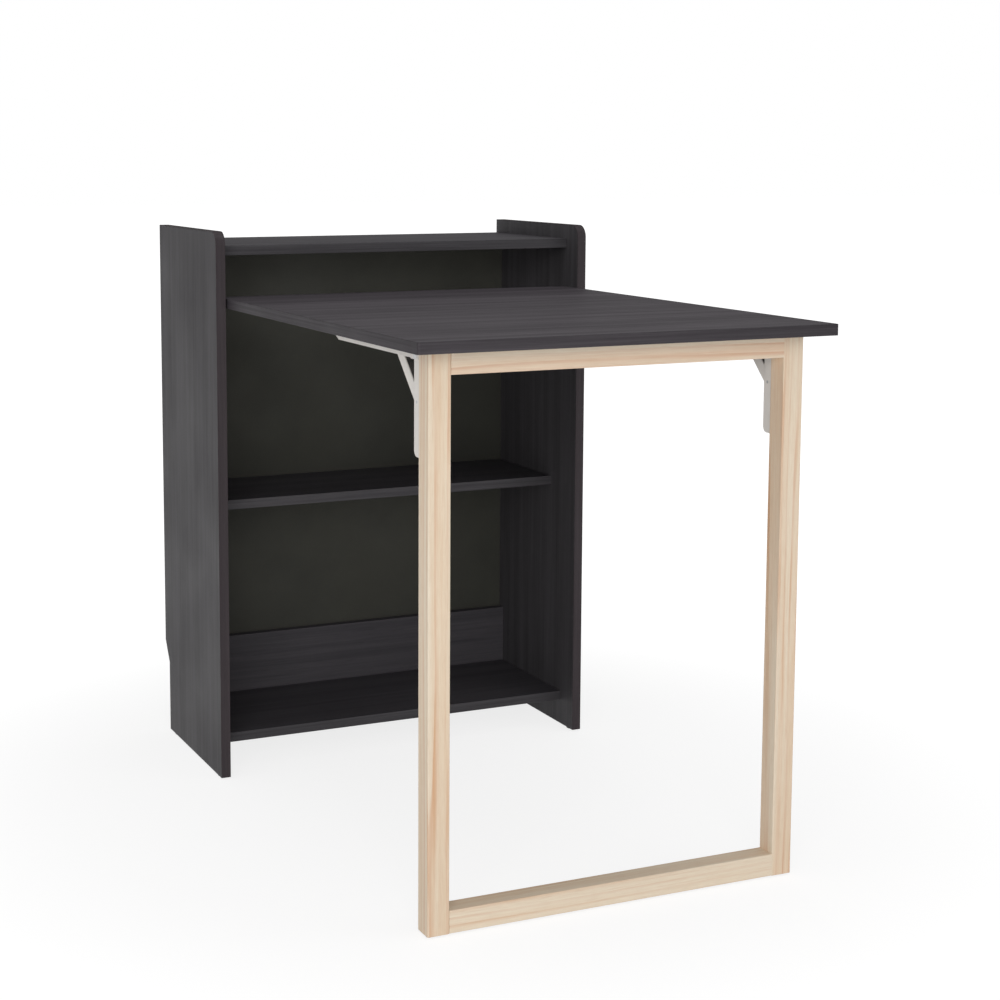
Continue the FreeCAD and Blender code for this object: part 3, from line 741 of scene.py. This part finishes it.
@dataclass
class FittingTree:
    """A Geometry Nodes tree that sets one turned fitting on every point of a mesh.

    The fitting's face lies at the point and looks along its own Z, and its stem goes down from there.
    """

    name: str
    recess: Recess
    finish: Finish
    head_sides: int = 32
    stem_sides: int = 24
    tree: bpy.types.NodeTree = field(init=False)
    sockets: dict[str, str] = field(default_factory=dict, init=False)

    def __post_init__(self) -> None:
        """Builds the tree."""
        self.tree = bpy.data.node_groups.new(self.name, "GeometryNodeTree")
        self.tree.interface.new_socket("Geometry", in_out="INPUT", socket_type="NodeSocketGeometry")
        for label, kind in (
            ("Head radius", VALUE), ("Neck radius", VALUE), ("Head depth", VALUE),
            ("Stem radius", VALUE), ("Stem length", VALUE),
            ("Recess length", VALUE), ("Recess width", VALUE), ("Recess depth", VALUE),
            ("Facing", VECTOR), ("Spin", VALUE), ("Seed", "NodeSocketInt"),
        ):
            socket = self.tree.interface.new_socket(label, in_out="INPUT", socket_type=kind)
            self.sockets[label] = socket.identifier
        self.tree.interface.new_socket("Geometry", in_out="OUTPUT", socket_type="NodeSocketGeometry")
        self._wire()

    def _moved(self, wiring: Wiring, geometry: object, height: object) -> bpy.types.NodeSocket:
        """Moves geometry along Z.

        Args:
            wiring: the tree's wiring.
            geometry: what is moved.
            height: how far.

        Returns:
            The moved geometry.
        """
        shift = wiring.add("ShaderNodeCombineXYZ", {"Z": height}).outputs[0]
        return wiring.add("GeometryNodeTransform", {"Geometry": geometry, "Translation": shift}).outputs[0]

    def _wire(self) -> None:
        """Wires the fitting, its recess and its copies."""
        wiring = Wiring(self.tree)
        start = wiring.add("NodeGroupInput").outputs
        head = wiring.add(
            "GeometryNodeMeshCone",
            {
                "Vertices": self.head_sides, "Radius Top": start["Head radius"],
                "Radius Bottom": start["Neck radius"], "Depth": start["Head depth"],
            },
        ).outputs["Mesh"]
        down = wiring.math("MULTIPLY", start["Head depth"], -1.0)
        solid = self._moved(wiring, head, down)
        stem = wiring.add(
            "GeometryNodeMeshCylinder",
            {"Vertices": self.stem_sides, "Radius": start["Stem radius"], "Depth": start["Stem length"]},
        ).outputs["Mesh"]
        half = wiring.math("MULTIPLY", start["Stem length"], -0.5)
        stem = self._moved(wiring, stem, wiring.math("ADD", down, half))
        if self.recess is Recess.CROSS:
            solid = self._cut(wiring, start, solid)
        joined = wiring.add("GeometryNodeJoinGeometry", {0: solid})
        self.tree.links.new(stem, joined.inputs[0])
        spin = wiring.add(
            "FunctionNodeRandomValue",
            {
                2: 0.0, 3: start["Spin"], "ID": wiring.add("GeometryNodeInputIndex").outputs[0],
                "Seed": start["Seed"],
            },
            data_type="FLOAT",
        ).outputs[1]
        facing = wiring.add("FunctionNodeEulerToRotation", {0: start["Facing"]}).outputs[0]
        turn = wiring.add(
            "FunctionNodeAxisAngleToRotation", {"Axis": (0.0, 0.0, 1.0), "Angle": spin},
        ).outputs[0]
        turned = wiring.add(
            "FunctionNodeRotateRotation", {"Rotation": facing, "Rotate By": turn}, rotation_space="LOCAL",
        ).outputs[0]
        placed = wiring.add(
            "GeometryNodeInstanceOnPoints",
            {"Points": start["Geometry"], "Instance": joined.outputs[0], "Rotation": turned},
        ).outputs[0]
        real = wiring.add("GeometryNodeRealizeInstances", {0: placed}).outputs[0]
        painted = wiring.add(
            "GeometryNodeSetMaterial", {"Geometry": real, "Material": self.finish.material()},
        ).outputs[0]
        wiring.add("NodeGroupOutput", {0: painted})

    def _cut(self, wiring: Wiring, start: object, head: bpy.types.NodeSocket) -> bpy.types.NodeSocket:
        """Sinks a cross into the head.

        Args:
            wiring: the tree's wiring.
            start: the tree's inputs.
            head: the head in its place.

        Returns:
            The head with its cross.
        """
        deep = wiring.math("MULTIPLY", start["Recess depth"], 2.0)
        cross = wiring.add("GeometryNodeMeshBoolean", operation="UNION", solver="EXACT")
        for first, second in (("Recess length", "Recess width"), ("Recess width", "Recess length")):
            size = wiring.add("ShaderNodeCombineXYZ", {"X": start[first], "Y": start[second], "Z": deep})
            bar = wiring.add("GeometryNodeMeshCube", {"Size": size.outputs[0]}).outputs["Mesh"]
            self.tree.links.new(bar, cross.inputs["Mesh 2"])
        return wiring.add(
            "GeometryNodeMeshBoolean", {"Mesh 1": head, "Mesh 2": cross.outputs["Mesh"]},
            operation="DIFFERENCE", solver="EXACT",
        ).outputs["Mesh"]

    def grow(self, name: str, points: list[Vector], values: dict[str, object]) -> bpy.types.Object:
        """Sets the fitting on every point and turns the result into a plain mesh.

        Args:
            name: the new piece's name.
            points: where the faces of the fittings lie.
            values: the tree's inputs, by name.

        Returns:
            The new piece.
        """
        seeds = bpy.data.meshes.new(f"{name}_points")
        seeds.from_pydata([tuple(point) for point in points], [], [])
        holder = bpy.data.objects.new(f"{name}_holder", seeds)
        bpy.context.scene.collection.objects.link(holder)
        modifier = holder.modifiers.new("grow", "NODES")
        modifier.node_group = self.tree
        for label, value in values.items():
            modifier[self.sockets[label]] = value
        holder.update_tag()
        evaluated = holder.evaluated_get(bpy.context.evaluated_depsgraph_get())
        mesh = bpy.data.meshes.new_from_object(evaluated)
        mesh.name = name
        holder.modifiers.clear()
        bpy.data.objects.remove(holder)
        piece = bpy.data.objects.new(name, mesh)
        bpy.context.scene.collection.objects.link(piece)
        LOG.info("%s: %d fittings, %d faces", name, len(points), len(mesh.polygons))
        return piece


PANEL = Laminate("panel_laminate_upright")
SHELF = Laminate("shelf_laminate_across", dark="3f3d41", light="504d51", grain=Grain.ACROSS)
DESK = Laminate("desk_laminate_across", dark="3a363a", light="5b565b", grain=Grain.ACROSS)
BAND_UP = Laminate("edge_band_upright", dark="352f32", light="433c3f", worn="585154")
BAND_ACROSS = Laminate(
    "edge_band_across", dark="383639", light="514f52", worn="5a5759", grain=Grain.ACROSS, fineness=200.0,
)
DESK_BAND = Laminate(
    "desk_band", dark="2d292d", light="4e4a4e", worn="585557",
    grain=Grain.ACROSS, fineness=240.0, around=True,
)
BACK = Hardboard("back_hardboard")
LEG_PINE = Pine("leg_pine", pith=(0.062, 0.08, 0.0))
RIGHT_PINE = Pine("right_leg_pine", late="cf9566", blush="e2b992", pith=(-0.31, 0.43, 0.0), figure=1.0)
RAIL_PINE = Pine(
    "rail_pine", late="d2956a", blush="e5b18a", grain=Grain.ACROSS, pith=(0.0, 0.52, -0.66), figure=1.0,
)
FOOT_PINE = Pine("foot_rail_pine", grain=Grain.ACROSS, pith=(0.0, 0.40, 0.09), figure=0.42)
BEECH = Pine("beech", early="d9b78d", late="c69d70", blush="cfa97d", pith=(0.05, 0.08, 0.0))
WHITE_COAT = PowderCoat("white_powder_coat")
# The struts' white coat, with painted shade darkening the inside of their channels.
STRUT_COAT_WITH_PAINTED_SHADE = PowderCoat("strut_powder_coat", painted_shade_share=0.95)
PLATED = Metal("plated_steel")
ZINC = Metal(
    "cast_zinc", colour="a9aaac", shade="7d7e81", smooth=0.42, dull=0.58, depth=0.00005,
    grit=Mottle(120.0, 4.0, rough=0.6, low=0.35, high=0.75),
)
PLASTIC = Moulded("moulded_plastic")


@dataclass
class Cabinet:
    """The bookcase that the desktop turns in."""

    cam_depth: float = 0.0125
    cam_radius: float = 0.0075
    cam_setback: float = 0.037
    cam_face_share: float = 0.4
    cam_body_share: float = 0.93
    cam_slack: float = 0.0001
    cam_spin: float = math.radians(50.0)
    cam_seed: int = 3
    cross_length: float = 0.0062
    cross_width: float = 0.0013
    cross_depth: float = 0.002
    nail_radius: float = 0.0016
    nail_head: float = 0.0006
    nail_crown_share: float = 0.8
    nail_proud_share: float = 0.6
    nail_shank_share: float = 0.5
    nail_shank: float = 0.002
    nail_spin: float = 6.0
    nail_seed: int = 7
    nail_pitch: float = 0.075
    nail_margin: float = 0.03
    shelves: tuple[str, ...] = ("gallery_shelf", "middle_shelf", "bottom_shelf")

    def dress(self) -> None:
        """Finishes the boards, their bands and the small parts."""
        for side in ("left", "right"):
            dress(f"{side}_side_panel", PANEL)
            dress(f"{side}_panel_edging", BAND_UP)
            dress(f"{side}_pivot_bush", PLASTIC)
        for shelf in self.shelves:
            dress(shelf, SHELF)
            dress(f"{shelf}_edging", BAND_ACROSS)
        dress("rear_rail", SHELF)
        dress("back_panel", BACK)
        dress("shelf_dowels", BEECH)
        dress("cam_bolts", PLATED)
        dress("panel_glides", PLASTIC)

    def build_cams(self) -> bpy.types.Object:
        """Makes the cams, whose crossed faces look down out of the shelves.

        Returns:
            The cams as one piece.
        """
        low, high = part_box("cam_locks")
        points = []
        for shelf in self.shelves:
            front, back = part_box(f"{shelf}_edging")[0].y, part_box(shelf)[1].y
            for x in (low.x + self.cam_radius, high.x - self.cam_radius):
                for y in (front + self.cam_setback, back - self.cam_setback):
                    points.append(Vector((x, y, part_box(shelf)[0].z)))
        tree = FittingTree("cam_face", Recess.CROSS, ZINC)
        piece = tree.grow("cam_faces", points, {
            "Head radius": self.cam_radius, "Neck radius": self.cam_radius,
            "Head depth": self.cam_depth * self.cam_face_share,
            "Stem radius": self.cam_radius * self.cam_body_share,
            "Stem length": self.cam_depth * (1.0 - self.cam_face_share) - self.cam_slack,
            "Recess length": self.cross_length, "Recess width": self.cross_width,
            "Recess depth": self.cross_depth, "Facing": (math.pi, 0.0, 0.0),
            "Spin": self.cam_spin, "Seed": self.cam_seed,
        })
        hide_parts("cam_locks")
        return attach(piece, "cabinet")

    def build_nails(self) -> bpy.types.Object:
        """Makes the nails that hold the back to the middle shelf and the rail.

        Returns:
            The nails as one piece.
        """
        low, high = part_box("back_panel")
        shelf_low, shelf_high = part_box("middle_shelf")
        rail_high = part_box("rear_rail")[1].z
        span = (high.x - low.x) / 2 - self.nail_margin
        count = int(2 * span / self.nail_pitch)
        points = []
        for z in ((shelf_low.z + shelf_high.z) / 2, (low.z + rail_high) / 2):
            for index in range(count + 1):
                x = -span + 2 * span * index / count
                points.append(Vector((x, high.y + self.nail_head * self.nail_proud_share, z)))
        tree = FittingTree("back_nail", Recess.NONE, PLATED)
        piece = tree.grow("back_nails", points, {
            "Head radius": self.nail_radius * self.nail_crown_share, "Neck radius": self.nail_radius,
            "Head depth": self.nail_head, "Stem radius": self.nail_radius * self.nail_shank_share,
            "Stem length": self.nail_shank, "Facing": (-math.pi / 2, 0.0, 0.0),
            "Spin": self.nail_spin, "Seed": self.nail_seed,
        })
        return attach(piece, "cabinet")


@dataclass
class Desktop:
    """The desktop and its pivots."""

    def dress(self) -> None:
        """Finishes the top, its band and the pins."""
        dress("desktop_board", DESK)
        dress("desktop_edging", DESK_BAND)
        for side in ("left", "right"):
            dress(f"{side}_pivot_pin", PLATED)


@dataclass
class LegFrame:
    """The pine frame that the desktop stands on."""

    def dress(self) -> None:
        """Finishes the legs, rails, dowels and glides."""
        dress("left_leg", LEG_PINE)
        dress("right_leg", RIGHT_PINE)
        dress("top_leg_rail", RAIL_PINE)
        dress("bottom_leg_rail", FOOT_PINE)
        dress("frame_dowels", BEECH)
        dress("leg_glides", PLASTIC)


@dataclass
class FoldingBrackets:
    """The two strutted brackets, with their pins and screws."""

    head_radius: float = 0.00295
    stem_radius: float = 0.00175
    head_depth: float = 0.0012
    cross_length: float = 0.0034
    cross_width: float = 0.0007
    cross_depth: float = 0.0007
    reach: float = 0.271
    leg_reach: float = 0.125
    steel: float = 0.0015
    top_shares: tuple[float, ...] = (0.12, 0.62, 0.9)
    leg_shares: tuple[float, ...] = (0.26, 0.86)
    top_stem: float = 0.0106
    leg_stem: float = 0.0186
    spin: float = math.pi / 2
    seed: int = 11

    def dress(self) -> None:
        """Finishes the arms, the struts and the pins."""
        for side in ("left", "right"):
            for part in ("top_arm", "leg_arm"):
                dress(f"{side}_{part}", WHITE_COAT)
            dress(f"{side}_strut", STRUT_COAT_WITH_PAINTED_SHADE)
            for part in ("corner_pin", "strut_pivot_pin", "slide_pin"):
                dress(f"{side}_{part}", PLATED)

    def _grow(
        self, name: str, node: str, points: list[Vector], tilt: float, stem: float,
    ) -> bpy.types.Object:
        """Makes one set of countersunk screws.

        Args:
            name: the set's name.
            node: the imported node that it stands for.
            points: where the heads' faces lie.
            tilt: the turn about X that makes the heads look outwards.
            stem: the length of the stem below the head.

        Returns:
            The set as one piece.
        """
        tree = FittingTree(f"{name}_tree", Recess.CROSS, PLATED)
        piece = tree.grow(name, points, {
            "Head radius": self.head_radius, "Neck radius": self.stem_radius,
            "Head depth": self.head_depth, "Stem radius": self.stem_radius,
            "Stem length": stem, "Recess length": self.cross_length,
            "Recess width": self.cross_width, "Recess depth": self.cross_depth,
            "Facing": (tilt, 0.0, 0.0), "Spin": self.spin, "Seed": self.seed,
        })
        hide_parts(node)
        return piece

    def build_screws(self) -> None:
        """Makes the screws of the top arms and of the leg arms."""
        hinge_low, hinge_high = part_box("left_corner_pin")
        hinge = (hinge_low + hinge_high) / 2
        head_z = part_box("left_top_arm")[1].z - self.steel
        head_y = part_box("left_leg_arm")[0].y + self.steel
        top, legs = [], []
        for x in (hinge.x, -hinge.x):
            top += [Vector((x, hinge.y + share * self.reach, head_z)) for share in self.top_shares]
            legs += [Vector((x, head_y, hinge.z - share * self.leg_reach)) for share in self.leg_shares]
        under = self._grow("top_arm_screw_heads", "top_arm_screws", top, math.pi, self.top_stem)
        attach(under, "desktop")
        behind = self._grow("leg_arm_screw_heads", "leg_arm_screws", legs, -math.pi / 2, self.leg_stem)
        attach(behind, "leg_frame")


@dataclass
class Studio:
    """A plain pale floor, soft lights and the camera."""

    eye: tuple[float, float, float] = (-1.1947, -2.5157, 0.9762)
    yaw: float = 0.40823
    pitch: float = -0.11848
    lens: float = 67.787
    shift: tuple[float, float] = (0.10186, -0.12556)
    sensor: float = 36.0
    floor_span: float = 60.0
    floor_paint: float = 0.9
    floor_glow: float = 1.12
    floor_white: float = 0.72
    floor_fade: tuple[float, float] = (0.5, 1.5)
    surround: float = 0.27

    def floor_material(self) -> bpy.types.Material:
        """Makes a pale matt paint. The camera and the reflections see it as white, with its shadows.

        Returns:
            The material.
        """
        made = bpy.data.materials.new("floor_paint")
        made.use_nodes = True
        wiring = Wiring(made.node_tree)
        paint = wiring.add("ShaderNodeBsdfDiffuse", {"Color": (self.floor_paint,) * 3 + (1.0,)})
        glow = wiring.add("ShaderNodeEmission", {"Color": WHITE, "Strength": self.floor_glow})
        path = wiring.add("ShaderNodeLightPath").outputs
        seen = wiring.math("MAXIMUM", path["Is Camera Ray"], path["Is Glossy Ray"])
        seen = wiring.math("MAXIMUM", seen, path["Is Transmission Ray"])
        place = wiring.add("ShaderNodeTexCoord").outputs["Object"]
        near, edge = self.floor_fade
        far = wiring.add(
            "ShaderNodeMapRange",
            {
                "Value": wiring.vector("LENGTH", place), "From Min": near, "From Max": edge,
                "To Min": self.floor_white, "To Max": 1.0,
            },
            interpolation_type="SMOOTHSTEP",
        ).outputs[0]
        share = wiring.math("MULTIPLY", seen, far)
        mix = wiring.add("ShaderNodeMixShader", {0: share, 1: paint.outputs[0], 2: glow.outputs[0]})
        wiring.add("ShaderNodeOutputMaterial", {"Surface": mix.outputs[0]})
        return made

    def build_floor(self) -> None:
        """Lays the floor."""
        half = self.floor_span / 2
        corners = [(-half, -half, 0.0), (half, -half, 0.0), (half, half, 0.0), (-half, half, 0.0)]
        mesh = bpy.data.meshes.new("floor")
        mesh.from_pydata(corners, [], [(0, 1, 2, 3)])
        mesh.materials.append(self.floor_material())
        floor = bpy.data.objects.new("floor", mesh)
        bpy.context.scene.collection.objects.link(floor)

    def build_world(self) -> None:
        """Sets an even pale surround, which the camera sees as white."""
        world = bpy.data.worlds.new("surround")
        bpy.context.scene.world = world
        world.use_nodes = True
        wiring = Wiring(world.node_tree)
        path = wiring.add("ShaderNodeLightPath").outputs
        seen = wiring.math("MAXIMUM", path["Is Camera Ray"], path["Is Transmission Ray"])
        dim = wiring.add("ShaderNodeBackground", {"Color": WHITE, "Strength": self.surround})
        white = wiring.add("ShaderNodeBackground", {"Color": WHITE, "Strength": 1.0})
        mix = wiring.add("ShaderNodeMixShader", {0: seen, 1: dim.outputs[0], 2: white.outputs[0]})
        wiring.add("ShaderNodeOutputWorld", {"Surface": mix.outputs[0]})

    def build_lights(self) -> None:
        """Hangs the soft lights."""
        for name, place, aim, size, power in (
            ("key_light", (-2.0, -3.6, 1.35), (0.0, 0.0, 0.4), 2.6, 72.0),
            ("left_light", (-3.2, -0.5, 1.5), (0.0, 0.0, 0.45), 2.2, 8.5),
            ("top_light", (0.2, -0.4, 3.6), (0.0, 0.0, 0.0), 3.0, 38.0),
            ("right_light", (2.7, -2.5, 1.7), (0.0, 0.0, 0.45), 2.0, 14.0),
        ):
            lamp = bpy.data.lights.new(name, "AREA")
            lamp.shape = "SQUARE"
            lamp.size = size
            lamp.energy = power
            stand = bpy.data.objects.new(name, lamp)
            stand.location = place
            stand.rotation_euler = (Vector(aim) - Vector(place)).to_track_quat("-Z", "Y").to_euler()
            bpy.context.scene.collection.objects.link(stand)
            LOG.info("%s: %.0f W", name, power)

    def build_camera(self) -> None:
        """Stands the camera where the photograph was taken from."""
        data = bpy.data.cameras.new("camera")
        data.sensor_width = self.sensor
        data.lens = self.lens
        data.shift_x, data.shift_y = self.shift
        camera = bpy.data.objects.new("camera", data)
        camera.location = self.eye
        camera.rotation_euler = Euler((math.pi / 2 + self.pitch, 0.0, -self.yaw))
        bpy.context.scene.collection.objects.link(camera)
        bpy.context.scene.camera = camera


def main() -> None:
    """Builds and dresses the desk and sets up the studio."""
    logging.basicConfig(level=logging.INFO, format="%(name)s %(message)s")
    cabinet = Cabinet()
    cabinet.dress()
    cabinet.build_cams()
    cabinet.build_nails()
    Desktop().dress()
    LegFrame().dress()
    brackets = FoldingBrackets()
    brackets.dress()
    brackets.build_screws()
    studio = Studio()
    studio.build_floor()
    studio.build_world()
    studio.build_lights()
    studio.build_camera()
    bpy.context.scene.view_settings.view_transform = "Standard"


if __name__ == "__main__":
    main()
